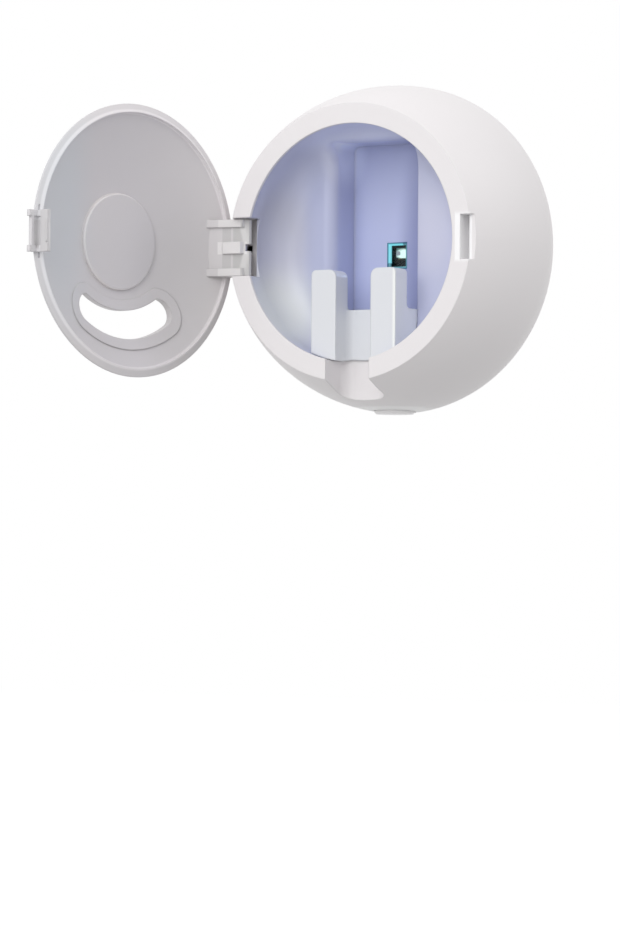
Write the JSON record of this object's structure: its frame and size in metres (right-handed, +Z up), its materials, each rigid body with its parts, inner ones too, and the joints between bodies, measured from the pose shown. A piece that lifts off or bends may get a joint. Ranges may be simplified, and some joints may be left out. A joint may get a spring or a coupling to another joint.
{
  "type": "toothbrush sterilizer",
  "caption": "Wall-held ball-shaped toothbrush head sterilizer with a hinged vented round lid, a lamp-lit chamber, a pronged holder and a press button underneath.",
  "frame": {"origin": "centre of the adhesive pad's back face, which lies on the wall", "axes": "+Y into the wall, so the chamber faces -Y; +X to the right seen from the front; +Z up"},
  "size_m": [0.0937, 0.103, 0.0801],
  "materials": {
    "housing_white": "satin",
    "liner_plastic": "satin",
    "holder_plastic": "satin",
    "lid_white": "satin",
    "seal_rubber": "matte",
    "pad_foam": "matte",
    "pin_steel": "satin",
    "screw_steel": "satin",
    "clear_window": "gloss",
    "lamp_black": "matte",
    "lamp_chip": "satin",
    "board_green": "satin",
    "contact_steel": "satin",
    "chip_black": "matte",
    "part_ceramic": "matte",
    "cell_foil": "satin",
    "tape_black": "matte",
    "lead_nickel": "satin",
    "flex_amber": "satin",
    "magnet_plating": "gloss",
    "button_white": "satin"
  },
  "bodies": {
    "housing": {"front_housing": "housing_white", "rear_housing": "housing_white", "rear_gasket": "seal_rubber", "chamber_liner": "liner_plastic", "brush_holder": "holder_plastic", "hinge_pin": "pin_steel", "lamp_window": "clear_window", "lamp_frame": "lamp_black", "uv_led": "lamp_chip", "led_board": "board_green", "led_screws": "screw_steel", "lamp_header": "chip_black", "main_board": "board_green", "main_board_screws": "screw_steel", "usb_socket": "contact_steel", "control_chip": "chip_black", "charge_chip": "chip_black", "inductor": "chip_black", "capacitors": "part_ceramic", "battery": "cell_foil", "battery_tape": "tape_black", "battery_leads": "lead_nickel", "sensor_strip": "flex_amber", "lid_sensor": "chip_black", "tact_switch": "chip_black", "button_board": "board_green", "button_board_screws": "screw_steel", "button_flex": "flex_amber", "liner_screws": "screw_steel", "holder_screws": "screw_steel", "housing_screws": "screw_steel", "adhesive_pad": "pad_foam"},
    "lid": {"lid": "lid_white", "lid_disc": "lid_white", "lid_magnet": "magnet_plating"},
    "button": {"button_cap": "button_white", "switch_plunger": "chip_black"}
  },
  "joints": [
    {"name": "lid_hinge", "type": "hinge", "parent": "housing", "child": "lid", "pos_m": [-0.0316, -0.0398, 0], "axis": [0, 0, 1], "range_deg": [0, 103]},
    {"name": "button_press", "type": "slide", "parent": "housing", "child": "button", "axis": [0, 0, 1], "range_m": [0, 0.0004], "stiffness_N_per_m": 3000}
  ]
}
